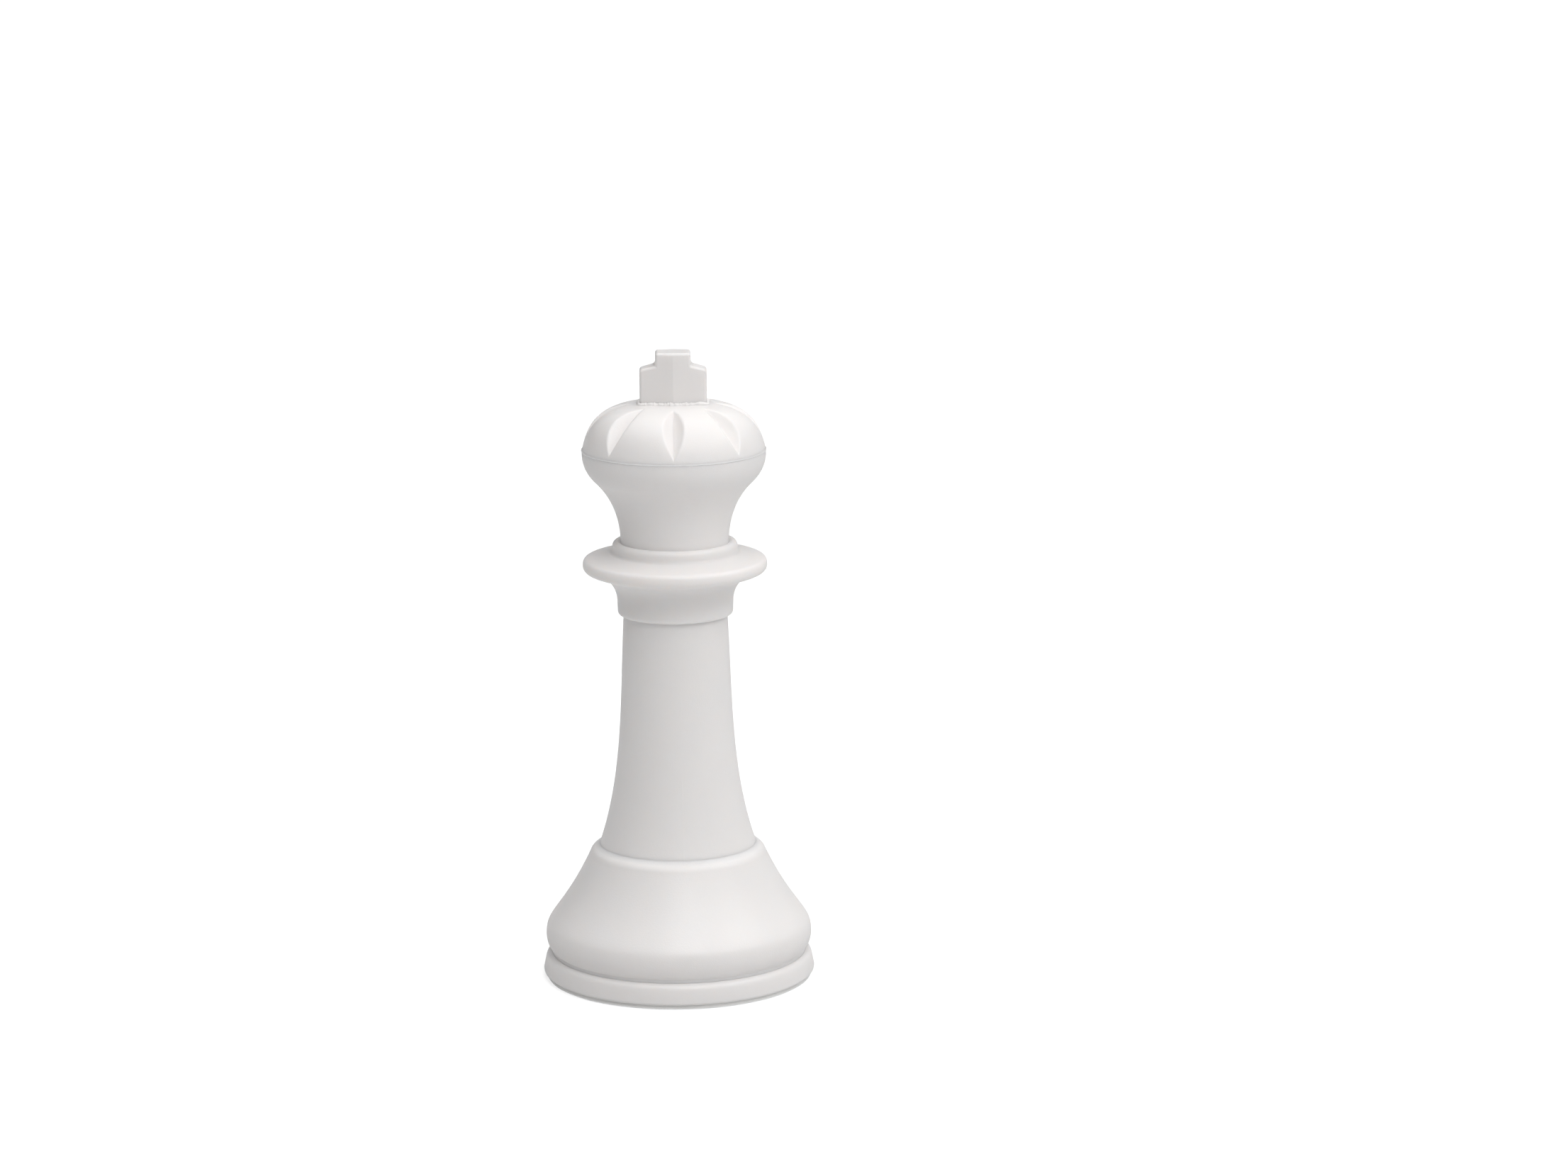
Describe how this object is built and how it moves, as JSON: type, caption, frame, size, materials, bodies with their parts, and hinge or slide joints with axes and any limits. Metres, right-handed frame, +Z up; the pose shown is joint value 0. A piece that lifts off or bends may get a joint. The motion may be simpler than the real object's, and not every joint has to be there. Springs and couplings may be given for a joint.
{
  "type": "chess king",
  "caption": "Large outdoor chess king: grooved crown with a stepped cross, bowl-shaped head on a collar, slender waisted stem and a bell base weighted inside and felted underneath.",
  "frame": {"origin": "centre of the felt's underside, on the surface the piece stands on", "axes": "+Z up along the axis the piece is turned about; the cross's broad faces look along -Y (front) and +Y"},
  "size_m": [0.0874, 0.0874, 0.2032],
  "materials": {
    "white_plastic": "satin",
    "felt": "matte",
    "ballast_iron": "rough cast",
    "screw_steel": "zinc plated"
  },
  "bodies": {
    "root": {"cross_finial": "white_plastic", "crown_cap": "white_plastic", "head_shell": "white_plastic", "collar_ring": "white_plastic", "stem_shell": "white_plastic", "base_bell": "white_plastic", "foot_disc": "white_plastic", "felt_pad": "felt", "ballast_slug": "ballast_iron", "foot_screw_1": "screw_steel", "foot_screw_2": "screw_steel", "foot_screw_3": "screw_steel", "foot_screw_4": "screw_steel"}
  },
  "joints": []
}
